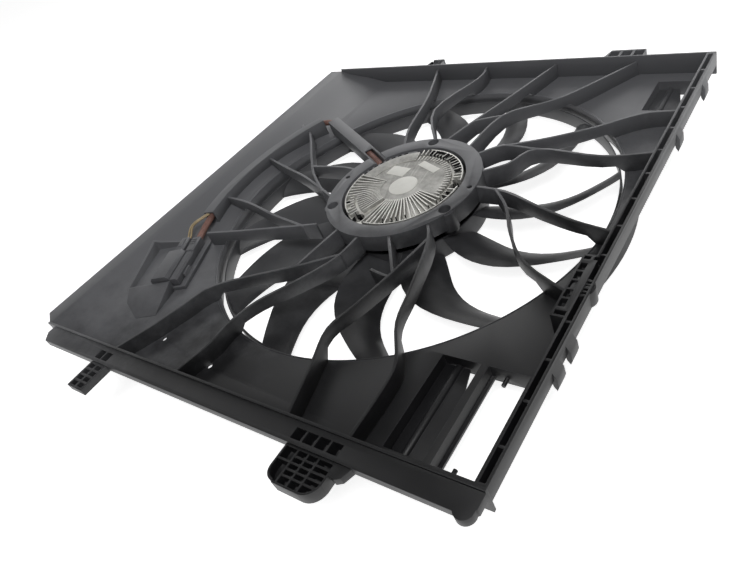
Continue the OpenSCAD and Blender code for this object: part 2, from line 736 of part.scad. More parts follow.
module signal_wires() {
    color([0.7, 0.58, 0.36]) at_axis() {
        tube(smooth(wire_path, 3), wire_r, 8);
        tube(smooth(other_wire_path, 3), wire_r, 8);
    }
}

// Plugs and the bracket that holds them
module at_plug() {
    translate([-241, -130, 0]) rotate(-66) children();
}
// Sunk tray beside the duct that the plugs lie in, from end to end and side to side
tray_top = frame_top - 20;
tray = [[-4, -66], [77.5, 9]];
stop_top = frame_top - 11.5;
plug_low = tray_top + 0.3;
module tray_plan(grow) {
    at_plug() translate(tray[0] - [grow, grow]) square(tray[1] - tray[0] + 2 * [grow, grow]);
}
module tray_space(low, grow) {
    translate([0, 0, low]) linear_extrude(90) tray_plan(grow);
}
module plug_bracket() {
    color([0.3, 0.3, 0.31]) at_axis() {
        // part of the tray that is sunk into the plate
        intersection() {
            across(-lower_reach, upper_reach) under_surface(-1);
            difference() {
                tray_space(tray_top - wall, wall);
                tray_space(tray_top, 0);
            }
        }
        // part that stands above the plate, with a sloped stop beyond the housing
        difference() {
            union() {
                translate([0, 0, plate_top - 1]) linear_extrude(tray_top - plate_top + 1) tray_plan(wall);
                at_plug() hull() {
                    block([77.5, -62, plate_top - 1], [80, -5, stop_top]);
                    block([118, -56, plate_top - 1], [120, -12, plate_top + 0.5]);
                }
                at_plug() block([48, 5, plate_top - 1], [64, 7.2, frame_top - 14]);
            }
            across(-lower_reach, upper_reach) under_surface(-1);
        }
    }
}
// Housing outline across its length, with sloped upper edges
module housing_section(y0, y1, top, cut) {
    polygon([[y0, plug_low], [y1, plug_low], [y1, top - cut], [y1 - cut, top], [y0 + cut, top],
        [y0, top - cut]]);
}
module housing(x0, x1, y0, y1, top, cut) {
    translate([x0, 0, 0]) rotate([90, 0, 90]) linear_extrude(x1 - x0)
        housing_section(y0, y1, top, cut);
}
module power_plug() {
    color([0.22, 0.22, 0.23]) at_axis() at_plug() {
        // lead end, long latch side and wide housing shared with the signal plug
        housing(0, 26, -7, 4.5, frame_top - 8, 1.5);
        housing(26 - eps, 77, -6.5, 4.5, frame_top - 9.5, 2);
        housing(25.5, 76.5, -31, -6, frame_top - 5, 3.5);
        for (x = [4, 8, 12]) block([x, -5, frame_top - 9], [x + 2, 2.5, frame_top - 7]);
    }
}
module signal_plug() {
    color([0.25, 0.25, 0.26]) at_axis() at_plug() {
        housing(-3, 25.2, -24.5, -12.5, frame_top - 8, 1.5);
        block([2, -21.5, frame_top - 9], [16, -15.5, frame_top - 6.5]);
    }
}

// Rotating parts
module rotor_shaft() {
    color([0.7, 0.7, 0.72]) at_axis() translate([0, 0, can_low])
        cylinder(r = shaft_r, h = base_low + 1.5 - can_low);
}
module retaining_ring() {
    color([0.4, 0.4, 0.42]) at_axis() translate([0, 0, bearing_top_z - 1.5]) difference() {
        cylinder(r = shaft_r + 3, h = 1.2);
        translate([0, 0, -1]) cylinder(r = shaft_r, h = 4);
    }
}
module rotor_can() {
    color([0.5, 0.5, 0.52]) at_axis() rotate_extrude($fn = 96) polygon([[shaft_r, can_low],
        [can_r, can_low], [can_r, base_low - 2], [can_r - 2.2, base_low - 2],
        [can_r - 2.2, can_low + can_t], [shaft_r + 5, can_low + can_t],
        [shaft_r + 5, can_low + can_t + 1.5], [shaft_r, can_low + can_t + 1.5]]);
}
module rotor_magnets() {
    color([0.2, 0.2, 0.22]) at_axis() translate([0, 0, core_low]) linear_extrude(core_h)
        for (i = [0:magnet_count - 1]) rotate(i * 360 / magnet_count) intersection() {
            difference() {
                circle(r = can_r - 2.2, $fn = 96);
                circle(r = core_r + air_gap, $fn = 96);
            }
            polygon([[0, 0], polar(80, -165 / magnet_count), polar(80, 165 / magnet_count)]);
        }
}

// Fan wheel: cup hub, swept blades with a cambered section, and tip ring
blade_mid_z = hub_low + 15;
tip_ring_t = 2;
// Blade stations from root to tip: radius, sweep angle, half chord and half rise of the chord
joint_gap = 0.12;
stations = [[hub_r + joint_gap, 0, 21, 10], [105, -1.2, 23.5, 10.2], [125, -1.8, 25, 10.2],
    [145, -1.3, 25, 10], [168, 1, 24, 9.5], [191, 5, 21.5, 8.8], [212, 9.3, 19, 8], [226, 12, 17.5, 7.5],
    [tip_ring_r - tip_ring_t - joint_gap / 4, 14, 17, 7.2]];
camber = 2.6;
chord_cuts = 5;
function chord_point(st, t, side) = let (a = st[1] + t * st[2] / st[0] * 57.3,
        skin = blade_t / 2 * side * (1 - 0.75 * pow(abs(t), 3)))
    [st[0] * cos(a), st[0] * sin(a), blade_mid_z - t * st[3] * pitch_share + camber * (1 - t * t) + skin];
function section(st) = concat([for (k = [0:chord_cuts]) chord_point(st, -1 + 2 * k / chord_cuts, 1)],
    [for (k = [chord_cuts:-1:0]) chord_point(st, -1 + 2 * k / chord_cuts, -1)]);
pitch_share = blade_pitch / 25;
module blade() {
    rows = smooth(stations, 2);
    m = len(rows);
    n = 2 * chord_cuts + 2;
    pts = [for (st = rows) each section(st)];
    sides = [for (i = [0:m - 2]) for (k = [0:n - 1]) each [
        [i * n + k, i * n + (k + 1) % n, (i + 1) * n + k],
        [i * n + (k + 1) % n, (i + 1) * n + (k + 1) % n, (i + 1) * n + k]]];
    root = [for (k = [0:chord_cuts - 1]) each [[k, n - 1 - k, k + 1], [k + 1, n - 1 - k, n - 2 - k]]];
    tip = [for (f = root) [for (v = [2:-1:0]) (m - 1) * n + f[v]]];
    polyhedron(pts, concat(sides, root, tip));
}
module fan_blades() {
    color([0.1, 0.1, 0.11]) at_axis() for (i = [0:blade_count - 1])
        rotate(blade_start + i * 360 / blade_count) blade();
}
module tip_ring() {
    color([0.1, 0.1, 0.11]) at_axis() rotate_extrude($fn = 120)
        translate([tip_ring_r - tip_ring_t, blade_mid_z - tip_ring_h / 2]) square([tip_ring_t, tip_ring_h]);
}
module fan_hub() {
    color([0.1, 0.1, 0.11]) at_axis() difference() {
        union() {
            rotate_extrude($fn = 96) polygon([[12, hub_low], [hub_r - 3, hub_low], [hub_r, hub_low + 3],
                [hub_r, hub_top], [hub_r - wall, hub_top], [hub_r - wall, hub_low + hub_t],
                [12, hub_low + hub_t]]);
            for (i = [0:11]) rotate(i * 30) block([can_r + 1, -1, hub_low + hub_t - eps],
                [hub_r - wall + eps, 1, hub_low + 14]);
        }
        for (i = [0:3]) rotate(45 + i * 90) translate([30, 0, 0]) cylinder(r = 2.7, h = 20);
    }
}
module fan_screws() {
    color([0.5, 0.5, 0.52]) at_axis() for (i = [0:3]) rotate(45 + i * 90) translate([30, 0, 0]) {
        translate([0, 0, hub_low]) cylinder(r = 2.5, h = hub_t);
        translate([0, 0, hub_low - 1.5]) cylinder(r = 4.5, h = 1.5);
    }
}

// Flap: panel with a cut corner and two sleeves on the window's pins
module flap(w) {
    l = w[2] - 2 * flap_gap;
    sleeve = 7;
    color([0.2, 0.2, 0.21]) at_axis() translate([w[0] + pivot_in, w[1] + flap_gap, pivot_z]) {
        difference() {
            union() {
                translate([0, 0, -flap_t / 2]) linear_extrude(flap_t) polygon([
                    [-pivot_in + flap_gap, 0], [window_w - pivot_in - flap_gap, 0],
                    [window_w - pivot_in - flap_gap, l - 42], [window_w - pivot_in - 13, l],
                    [-pivot_in + flap_gap, l]]);
                rotate([-90, 0, 0]) cylinder(r = pin_r + 2, h = l);
            }
            for (s = [0, 1]) translate([0, s * l, 0]) rotate([s == 0 ? -90 : 90, 0, 0])
                translate([0, 0, -1]) cylinder(r = pin_r + pin_clear, h = sleeve + 2.5);
        }
    }
}
module lower_flap() { flap(windows[0]); }
module upper_flap() { flap(windows[2]); }

shroud_panel();
fan_duct();
lower_frame();
side_frame();
upper_frame();
motor_carrier();
lower_arms();
side_arms();
upper_arms();
left_arms();
lead_channel();
motor_base();
heat_sink_cover();
cover_seal();
cover_screws();
motor_screws();
controller_board();
board_capacitors();
stator_core();
stator_coils();
lower_bearing();
upper_bearing();
cover_labels();
motor_lead();
signal_wires();
power_plug();
signal_plug();
plug_bracket();
rotor_shaft();
retaining_ring();
rotor_can();
rotor_magnets();
fan_hub();
fan_blades();
tip_ring();
fan_screws();
lower_flap();
upper_flap();
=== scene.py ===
# %% [markdown]
# # A radiator cooling fan module
# The solids of the part are already made and come in as the frame. This lesson dresses them: it sets
# up the camera and a small studio, gives every piece a finish, and models the moulded and cast
# details that a plain solid leaves out.

import json
import math

import bpy
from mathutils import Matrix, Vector

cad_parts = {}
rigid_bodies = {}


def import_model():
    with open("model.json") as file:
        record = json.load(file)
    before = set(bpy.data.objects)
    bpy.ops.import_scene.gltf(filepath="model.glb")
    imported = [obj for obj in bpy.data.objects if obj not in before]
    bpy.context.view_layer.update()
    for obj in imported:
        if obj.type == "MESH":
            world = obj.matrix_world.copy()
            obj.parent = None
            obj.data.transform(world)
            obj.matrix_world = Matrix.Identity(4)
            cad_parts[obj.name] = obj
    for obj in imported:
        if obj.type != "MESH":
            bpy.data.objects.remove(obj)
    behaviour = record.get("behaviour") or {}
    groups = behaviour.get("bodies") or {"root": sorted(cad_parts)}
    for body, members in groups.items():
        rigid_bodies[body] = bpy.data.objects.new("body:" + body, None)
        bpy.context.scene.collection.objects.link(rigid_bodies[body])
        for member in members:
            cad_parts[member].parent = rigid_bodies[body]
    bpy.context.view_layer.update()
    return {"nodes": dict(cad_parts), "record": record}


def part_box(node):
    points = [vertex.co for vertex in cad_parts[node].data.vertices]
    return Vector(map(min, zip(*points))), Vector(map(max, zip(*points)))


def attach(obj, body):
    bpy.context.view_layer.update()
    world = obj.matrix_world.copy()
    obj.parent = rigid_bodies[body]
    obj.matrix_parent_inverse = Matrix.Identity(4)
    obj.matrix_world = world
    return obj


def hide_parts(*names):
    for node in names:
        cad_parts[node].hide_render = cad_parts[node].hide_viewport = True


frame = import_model()
print("nodes in the frame:", len(frame["nodes"]))

# %% [markdown]
# ## Camera
# The photograph looks down on the radiator side from beyond the lower right corner, with the camera
# rolled. Its place was worked out from the long straight edges of the frame and the round motor
# ring. It is kept as an offset from the fan axis, so it stays right if the frame's origin moves.

# %% Camera
MM = 0.001
SENSOR_MM = 36
LENS_MM = 30.74
LENS_SHIFT = (-0.0676, -0.0043)
CAMERA_FROM_AXIS_MM = (449.0, -462.0, 427.5)
CAMERA_TURN_DEGREES = (49.219, 17.152, 31.479)
NEAREST_SEEN_M = 0.01
ring_low, ring_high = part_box("tip_ring")
AXIS = Vector(((ring_low.x + ring_high.x) / 2, (ring_low.y + ring_high.y) / 2, 0))


def add_camera():
    """The photograph's camera."""
    camera_data = bpy.data.cameras.new("camera")
    camera_data.sensor_width = SENSOR_MM
    camera_data.lens = LENS_MM
    camera_data.shift_x, camera_data.shift_y = LENS_SHIFT
    camera_data.clip_start = NEAREST_SEEN_M
    camera = bpy.data.objects.new("camera", camera_data)
    camera.location = AXIS + Vector(CAMERA_FROM_AXIS_MM) * MM
    camera.rotation_euler = [math.radians(a) for a in CAMERA_TURN_DEGREES]
    bpy.context.scene.collection.objects.link(camera)
    bpy.context.scene.camera = camera
    return camera


def at_axis(x, y, z):
    """A point given in millimetres about the fan axis, as a place in the frame."""
    return AXIS + Vector((x, y, z)) * MM


camera = add_camera()
print("camera stands at", [round(v, 3) for v in camera.location])

# %% [markdown]
# ## Studio
# A product shot on white has a floor that shows as paper white to the camera but lights the object
# like any pale surface. The floor mixes in a white glow for camera, mirror and glass rays only. A
# low wall of the same paper stands far away all round, so that low views see no horizon.
# The key stands above the camera and shows each colour about as it is. Two strips beyond the part
# are seen only as sheen, which rises towards the far side of the dark plastic.

# %% Helpers for nodes and colours


def srgb(hex_colour):
    """Turns an sRGB hex colour into the linear colour that a shader wants."""
    parts = [int(hex_colour[i:i + 2], 16) / 255 for i in (1, 3, 5)]
    linear = [p / 12.92 if p <= 0.04045 else ((p + 0.055) / 1.055) ** 2.4 for p in parts]
    return (*linear, 1.0)


def add_node(tree, kind, settings=None, links=None, **properties):
    """Adds a node, sets its properties and inputs, and links inputs to other nodes' outputs."""
    node = tree.nodes.new(kind)
    for name, value in properties.items():
        setattr(node, name, value)
    for name, value in (settings or {}).items():
        node.inputs[name].default_value = value
    for name, output in (links or {}).items():
        tree.links.new(output, node.inputs[name])
    return node


def maths(tree, operation, *values):
    """The result of a Math node, whose values are numbers or other nodes' outputs."""
    numbers = {i: v for i, v in enumerate(values) if isinstance(v, (int, float))}
    outputs = {i: v for i, v in enumerate(values) if i not in numbers}
    return add_node(tree, "ShaderNodeMath", numbers, outputs, operation=operation).outputs[0]


# %% Floor, lights and world
FLOOR_SIZE_M = 60
FLOOR_BELOW_M = 0.001
WALL_RADIUS_M = 29
WALL_HEIGHT_M = 10
PAPER_GLOW = 0.85
WORLD_STRENGTH = 0.12


def paper_backdrop():
    """Matt paper with a white glow for the rays that show it, straight or in a mirror or glass."""
    material = bpy.data.materials.new("paper backdrop")
    material.use_nodes = True
    tree = material.node_tree
    tree.nodes.clear()
    rays = add_node(tree, "ShaderNodeLightPath").outputs
    seen = maths(tree, "MAXIMUM", rays["Is Camera Ray"], rays["Is Glossy Ray"])
    seen = maths(tree, "MAXIMUM", seen, rays["Is Transmission Ray"])
    paper = add_node(tree, "ShaderNodeBsdfDiffuse", {"Color": srgb("#e9e9e9")})
    glow = add_node(tree, "ShaderNodeEmission", {"Color": (1, 1, 1, 1), "Strength": PAPER_GLOW})
    lit = add_node(tree, "ShaderNodeAddShader", links={0: paper.outputs[0], 1: glow.outputs[0]})
    mix = add_node(tree, "ShaderNodeMixShader",
                   links={0: seen, 1: paper.outputs[0], 2: lit.outputs[0]})
    add_node(tree, "ShaderNodeOutputMaterial", links={"Surface": mix.outputs[0]})
    return material


def area_light(name, place, target, width, height, power):
    """A rectangular lamp at a place, turned to face a target."""
    data = bpy.data.lights.new(name, "AREA")
    data.shape = "RECTANGLE"
    data.size = width
    data.size_y = height
    data.energy = power
    lamp = bpy.data.objects.new(name, data)
    lamp.location = place
    lamp.rotation_euler = (Vector(target) - Vector(place)).to_track_quat("-Z", "Y").to_euler()
    bpy.context.scene.collection.objects.link(lamp)


paper = paper_backdrop()
bpy.ops.object.select_all(action="DESELECT")
bpy.ops.mesh.primitive_plane_add(size=FLOOR_SIZE_M, location=(0, 0, -FLOOR_BELOW_M))
floor = bpy.context.object
floor.name = "floor"
floor.data.materials.append(paper)
bpy.ops.mesh.primitive_cylinder_add(vertices=96, radius=WALL_RADIUS_M, depth=WALL_HEIGHT_M,
                                    end_fill_type="NOTHING", location=(0, 0, WALL_HEIGHT_M / 2))
backdrop = bpy.context.object
backdrop.name = "backdrop"
backdrop.data.materials.append(paper)

area_light("overhead key", (0.9, -0.8, 2.3), (0, 0, 0), width=1.5, height=1.5, power=32)
area_light("left strip", (-1.5, 0.7, 1.42), (-0.1, 0, 0), width=1.7, height=0.5, power=3.4)
area_light("far strip", (-0.2, 1.7, 0.8), (0, 0.1, 0), width=3.0, height=0.8, power=13)
world = bpy.data.worlds.new("studio")
bpy.context.scene.world = world
world.use_nodes = True
background = world.node_tree.nodes["Background"]
background.inputs["Color"].default_value = srgb("#ffffff")
background.inputs["Strength"].default_value = WORLD_STRENGTH
bpy.context.scene.view_settings.view_transform = "Standard"

# %% [markdown]
# ## Moulded plastic
# The shroud is glass-filled polyamide, injection moulded. The mould's surface was spark-eroded,
# which gives a fine even grain, and the glass fibres near the surface make soft paler streaks. The
# plastic is nearly black and half matt. Handling polishes its edges, so they get a smoother finish
# of their own, whose paler colour is partly that wear and partly a painted highlight. The part is
# used: a grey film of road dust lies on it, and the film's rise towards its upper left is painted
# sheen.

# %% Plastic
POLYMER_IOR = 1.53
# The grey is dust, and its rise towards the upper left is painted sheen.
DUST_AND_SHEEN_COLOUR = "#96979b"
PAINTED_SHEEN_PER_METRE_LEFT = 2.6
PAINTED_SHEEN_PER_METRE_UP = 3.2
DUST_AND_SHEEN_AT_MIDDLE = 0.85
DUST_WISPS = 0.16


def new_material(name):
    """A material, its node tree and its Principled shader."""
    material = bpy.data.materials.new(name)
    material.use_nodes = True
    return material, material.node_tree, material.node_tree.nodes["Principled BSDF"]


def cloudy(tree, place, size_mm, detail, roughness=0.5):
    """A noise of a given size, on the object's own coordinates."""
    settings = {"Scale": 1000 / size_mm, "Detail": detail, "Roughness": roughness}
    links = {"Vector": place.outputs["Object"]}
    return add_node(tree, "ShaderNodeTexNoise", settings, links).outputs["Fac"]


def two_tone(tree, factor, dark, dark_at, pale, pale_at):
    """A ramp from a dark colour to a pale one, between two values of a factor."""
    ramp = add_node(tree, "ShaderNodeValToRGB", links={0: factor})
    first, last = ramp.color_ramp.elements
    first.position = dark_at
    first.color = srgb(dark)
    last.position = pale_at
    last.color = srgb(pale)
    return ramp.outputs[0]


def uneven_gloss(tree, shader, factor, smoothest, roughest):
    """Spreads the shader's roughness with a factor."""
    rough = add_node(tree, "ShaderNodeMapRange", {"To Min": smoothest, "To Max": roughest},
                     {"Value": factor})
    tree.links.new(rough.outputs[0], shader.inputs["Roughness"])


def relief(tree, shader, height, strength, depth_mm):
    """Bumps that follow a height."""
    bump = add_node(tree, "ShaderNodeBump", {"Strength": strength, "Distance": depth_mm * MM},
                    {"Height": height})
    tree.links.new(bump.outputs[0], shader.inputs["Normal"])


def dust_and_painted_sheen(tree, place, most):
    """How much grey covers a point: a film of dust, whose rise towards the upper left of the part is
    painted sheen.
    """
    spot = add_node(tree, "ShaderNodeSeparateXYZ", links={0: place.outputs["Object"]})
    # painted sheen: the film rises towards the upper left; the wisps below are dust
    left = maths(tree, "MULTIPLY", spot.outputs["X"], -PAINTED_SHEEN_PER_METRE_LEFT)
    far = maths(tree, "MULTIPLY_ADD", spot.outputs["Y"], PAINTED_SHEEN_PER_METRE_UP, DUST_AND_SHEEN_AT_MIDDLE)
    painted_sheen_slope = maths(tree, "ADD", left, far)
    wisps = add_node(tree, "ShaderNodeTexNoise", {"Scale": 22, "Detail": 8, "Roughness": 0.7},
                     {"Vector": place.outputs["Object"]})
    wisps = add_node(tree, "ShaderNodeMapRange",
                     {"From Min": 0.35, "From Max": 0.65, "To Min": -DUST_WISPS,
                      "To Max": DUST_WISPS}, {"Value": wisps.outputs["Fac"]})
    film = maths(tree, "ADD", painted_sheen_slope, wisps.outputs[0])
    return add_node(tree, "ShaderNodeMapRange", {"To Max": most}, {"Value": film},
                    interpolation_type="SMOOTHSTEP").outputs[0]


def moulded_plastic(name, dark, pale, roughness=0.5, grain_mm=0.9, grain=0.25, patch_mm=70,
                    dust_and_sheen=0.0):
    """Polyamide and other moulded polymers: cloudy colour, uneven gloss, a fine grain, and dust with
    a painted sheen.
    """
    material, tree, shader = new_material(name)
    shader.inputs["IOR"].default_value = POLYMER_IOR
    place = add_node(tree, "ShaderNodeTexCoord")
    cloud = cloudy(tree, place, patch_mm, 7, 0.62)
    colour = two_tone(tree, cloud, dark, 0.35, pale, 0.72)
    if dust_and_sheen:
        # the grey mix is dust, with painted sheen where it rises towards the upper left
        film = add_node(tree, "ShaderNodeMix", {7: srgb(DUST_AND_SHEEN_COLOUR)},
                        {0: dust_and_painted_sheen(tree, place, dust_and_sheen), 6: colour}, data_type="RGBA")
        colour = film.outputs[2]
    tree.links.new(colour, shader.inputs["Base Color"])
    uneven_gloss(tree, shader, cloud, roughness - 0.07, roughness + 0.1)
    relief(tree, shader, cloudy(tree, place, grain_mm, 2), grain, 0.2)
    return material


shroud_plastic = moulded_plastic("glass-filled polyamide", "#0e0e10", "#19191b", 0.46, dust_and_sheen=0.43)
# the paler edge finishes are partly handling wear and partly painted highlight
shroud_wear_and_highlight = moulded_plastic("worn polyamide edge and painted highlight", "#303033", "#444448", 0.36, patch_mm=25,
                              dust_and_sheen=0.5)
wheel_plastic = moulded_plastic("fan wheel polyamide", "#131315", "#1b1b1d", 0.42, dust_and_sheen=0.2)
wheel_wear_and_highlight = moulded_plastic("worn fan wheel edge and painted highlight", "#262628", "#333335", 0.36, patch_mm=25,
                             dust_and_sheen=0.25)
plug_plastic = moulded_plastic("connector polyamide", "#222224", "#2c2c2f", 0.42, 0.5, 0.1, 30,
                               0.34)
plug_wear_and_highlight = moulded_plastic("worn connector edge and painted highlight", "#363639", "#464649", 0.36, 0.5, 0.1, 30,
                            0.4)
print("plastics:", [m.name for m in bpy.data.materials if "polyamide" in m.name or "edge" in m.name])

# %% [markdown]
# ## Metal
# The finned cover is die-cast aluminium, left bare: its skin is dull and slightly rough with darker
# patches where the metal cooled first. The hidden motor parts are turned, pressed or plated steel.

# %% Metal


def bare_metal(name, dark, pale, roughness, patch_mm=12, grain_mm=1.2, grain=0.2):
    """Bare metal with patches of another tone and gloss, and a fine grain."""
    material, tree, shader = new_material(name)
    shader.inputs["Metallic"].default_value = 1.0
    place = add_node(tree, "ShaderNodeTexCoord")
    cloud = cloudy(tree, place, patch_mm, 6, 0.65)
    tree.links.new(two_tone(tree, cloud, dark, 0.3, pale, 0.7), shader.inputs["Base Color"])
    uneven_gloss(tree, shader, cloud, roughness - 0.08, roughness + 0.08)
    relief(tree, shader, cloudy(tree, place, grain_mm, 3), grain, 0.3)
    return material


cast_alloy = bare_metal("die-cast aluminium", "#a09f9b", "#d2d1cd", 0.66, 14, 1.6, 0.9)
# the paler finish of the cover's edges and fin tops is partly wear and partly painted highlight; on
# the raised floor it is painted light
cast_wear_and_painted_light = bare_metal("worn die-cast edge and painted light", "#d0cfca", "#e9e8e3", 0.52, 14, 1.6, 0.6)
zinc_steel = bare_metal("zinc-plated steel", "#8b8c90", "#a7a8ac", 0.35)
ground_steel = bare_metal("ground steel", "#9a9a9c", "#b4b4b6", 0.25)
sheet_steel = bare_metal("electrical sheet steel", "#55565a", "#6a6b70", 0.45)
copper = bare_metal("enamelled copper wire", "#8a4a22", "#a8602f", 0.35)
magnet = bare_metal("sintered magnet", "#3a3a3e", "#4a4a4e", 0.5)
print("metals:", [m.name for m in bpy.data.materials if m.name.endswith(("steel", "aluminium"))])

# %% [markdown]
# ## Coatings, film and rubber
# The last few finishes are thin skins or soft polymers, so they use the plastic's recipe with other
# colours: the circuit board's lacquer, shrunk sleeves, the seal and the bare labels. The motor's
# aluminium base also gets a near-black finish, which keeps it dark below the ring.

# %% Coatings, film and rubber
board = moulded_plastic("solder resist", "#0f4a2a", "#155a34", 0.3)
sleeve = moulded_plastic("heat-shrink sleeve", "#15151c", "#1d1d26", 0.3)
# the same black rubber also paints shade in the cover's pockets
seal_rubber_and_painted_shade = moulded_plastic("silicone rubber and painted shade", "#141414", "#1a1a1a", 0.6)
label_film = moulded_plastic("white label film", "#e2e1da", "#eeede7", 0.5, 0.5, 0.05, 20)
near_black_alloy = moulded_plastic("near-black aluminium", "#1b1b1d", "#26262a", 0.4, 0.6, 0.15, 30)
print("finishes so far:", len(bpy.data.materials))

# %% [markdown]
# ## Motor lead and signal wires
# The motor is fed by one lead in a woven sleeve. It leaves the cover, lies in the duct arm, turns
# down the closed channel round the fan and ends in the power plug. Two thin wires leave the lead's
# end and loop over to the signal plug. A cord could be a swept mesh, but a curve with a round bevel
# keeps its middle line, which the cord check measures. The courses are those in the part's source.

# %% Courses of the cords, in millimetres about the fan axis
LEAD_RADIUS_MM = 4
WIRE_RADIUS_MM = 1.1
LEAD_COURSE_MM = [
    (-62, 42, 48.5), (-75, 50, 50.5), (-110, 72, 50.5), (-175, 111, 50.5), (-212, 133, 50.5),
    (-222, 137.5, 50.3), (-236, 136, 50.5), (-247, 122, 51), (-255, 97, 52), (-267, 56, 52),
    (-272, 8, 52), (-269, -42, 52), (-262, -70, 52), (-254, -95, 51), (-250, -110, 49),
    (-243.8, -123.7, 48), (-241.1, -129.7, 48),
]
WIRE_COURSES_MM = [
    [(-258, -92, 56.6), (-260, -101, 57), (-266, -111, 56), (-267.5, -119, 53.5),
     (-261.4, -129.4, 49), (-259.5, -133.9, 48.2)],
    [(-254, -92.5, 56.8), (-256, -101, 57.2), (-262.2, -112.2, 56.2), (-263.9, -118.5, 53.7),
     (-257.7, -127.8, 49.2), (-255.8, -132.3, 48.4)],
]
LEAD_LENGTH = 0.479


def smooth_course(points, steps):
    """Points on the smooth line through a course, the same line that the solids follow."""
    line = []
    spots = [Vector(p) for p in points]
    for i in range(len(spots) - 1):
        before, start, end = spots[max(i - 1, 0)], spots[i], spots[i + 1]
        after = spots[min(i + 2, len(spots) - 1)]
        for k in range(steps):
            t = k / steps
            line.append(0.5 * (2 * start + (end - before) * t
                               + (2 * before - 5 * start + 4 * end - after) * t ** 2
                               + (3 * start - before - 3 * end + after) * t ** 3))
    return line + [spots[-1]]


def eased(line, rounds):
    """The same line with its corners relaxed, as a springy wire takes them; its ends stay."""
    for _ in range(rounds):
        middle = [(a + 2 * b + c) / 4 for a, b, c in zip(line, line[1:], line[2:])]
        line = [line[0]] + middle + [line[-1]]
    return line


def lay_cord(name, line_mm, radius_mm, finish):
    """One open curve along a line, with a round section and closed ends."""
    data = bpy.data.curves.new(name, "CURVE")
    data.dimensions = "3D"
    data.bevel_depth = radius_mm * MM
    data.bevel_resolution = 6
    data.resolution_u = 6
    data.use_fill_caps = True
    spline = data.splines.new("BEZIER")
    spline.bezier_points.add(len(line_mm) - 1)
    for bend, spot in zip(spline.bezier_points, line_mm):
        bend.co = at_axis(*spot)
        bend.handle_left_type = bend.handle_right_type = "AUTO"
    data.materials.append(finish)
    cord = bpy.data.objects.new(name, data)
    bpy.context.scene.collection.objects.link(cord)
    bpy.context.view_layer.update()
    print(name, "is", round(spline.calc_length(), 4), "m long")
    return cord


# %% Finish of the sleeve and the wires
POLYESTER_IOR = 1.57
STRAND_MM = 2.4


def woven_sleeve(name, dark, pale, length_mm, radius_mm):
    """Woven polyester sleeve: crossed flat strands, drawn twice their real width so they show."""
    material, tree, shader = new_material(name)
    shader.inputs["Roughness"].default_value = 0.62
    shader.inputs["IOR"].default_value = POLYESTER_IOR
    place = add_node(tree, "ShaderNodeTexCoord")
    around = round(2 * math.pi * radius_mm / STRAND_MM)
    strands = []
    for turn in (1, -1):
        laid = add_node(tree, "ShaderNodeMapping",
                        {"Scale": (length_mm / STRAND_MM, turn * around, 1)},
                        {"Vector": place.outputs["UV"]})
        laid = add_node(tree, "ShaderNodeVectorMath", {1: (1, 1, 0)}, {0: laid.outputs[0]},
                        operation="DOT_PRODUCT")
        laid = maths(tree, "MULTIPLY", laid.outputs["Value"], 2 * math.pi)
        strands.append(maths(tree, "SINE", laid))
    weave = maths(tree, "MAXIMUM", *strands)
    worn = cloudy(tree, place, 18, 5)
    tone = maths(tree, "MULTIPLY_ADD", weave, 0.22, worn)
    tree.links.new(two_tone(tree, tone, dark, 0.3, pale, 0.8), shader.inputs["Base Color"])
    relief(tree, shader, weave, 0.5, 0.6)
    return material


lead_sheath = woven_sleeve("woven polyester sleeve", "#5e423c", "#a07568", 1000 * LEAD_LENGTH,
                           LEAD_RADIUS_MM)
wire_cover = moulded_plastic("wire insulation", "#a08c68", "#c4b28c", 0.45, 0.6, 0.1, 12)

# %% The cords in place
lead = lay_cord("motor_supply_lead", smooth_course(LEAD_COURSE_MM, 2), LEAD_RADIUS_MM, lead_sheath)
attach(lead, "module")
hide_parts("motor_lead")
for number, course in enumerate(WIRE_COURSES_MM, 1):
    wire = lay_cord(f"signal_wire_{number}", eased(smooth_course(course, 3), 5), WIRE_RADIUS_MM,
                    wire_cover)
    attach(wire, "module")
    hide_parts("signal_wires")

# %% [markdown]
# ## Rounded edges
# A mould has no knife-sharp corners, and light catches on every small rounding. The frame's solids
# have sharp edges, so each one is copied, its loose triangles are merged into whole faces, and a
# narrow bevel rounds the edges. The bevel's strip takes the second material, a paler edge that is
# partly handling wear and partly painted highlight.

# %% Copies of solids
BODY_OF = {node: body for body, nodes in frame["record"]["behaviour"]["bodies"].items()
           for node in nodes}
MERGE_WITHIN_M = 0.00001
FLAT_WITHIN_DEGREES = 0.6
ROUND_FROM_DEGREES = 40
SMOOTH_TO_DEGREES = 32


def pick(piece):
    """Selects one piece alone and makes it active."""
    bpy.ops.object.select_all(action="DESELECT")
    piece.select_set(True)
    bpy.context.view_layer.objects.active = piece


def copy_to_edit(node, name):
    """A copy of a solid, free of its parent, in edit mode with its doubled corners merged."""
    pick(frame["nodes"][node])
    bpy.ops.object.duplicate()
    piece = bpy.context.object
    bpy.ops.object.parent_clear(type="CLEAR_KEEP_TRANSFORM")
    piece.name = name
    bpy.ops.object.mode_set(mode="EDIT")
    bpy.ops.mesh.select_all(action="SELECT")
    bpy.ops.mesh.remove_doubles(threshold=MERGE_WITHIN_M)
    return piece


def leave_edit(piece, *finishes):
    """Back to object mode, with the solid's stored normals cleared and new finishes in its slots."""
    bpy.ops.object.mode_set(mode="OBJECT")
    bpy.ops.mesh.customdata_custom_splitnormals_clear()
    piece.data.materials.clear()
    for finish in finishes:
        piece.data.materials.append(finish)


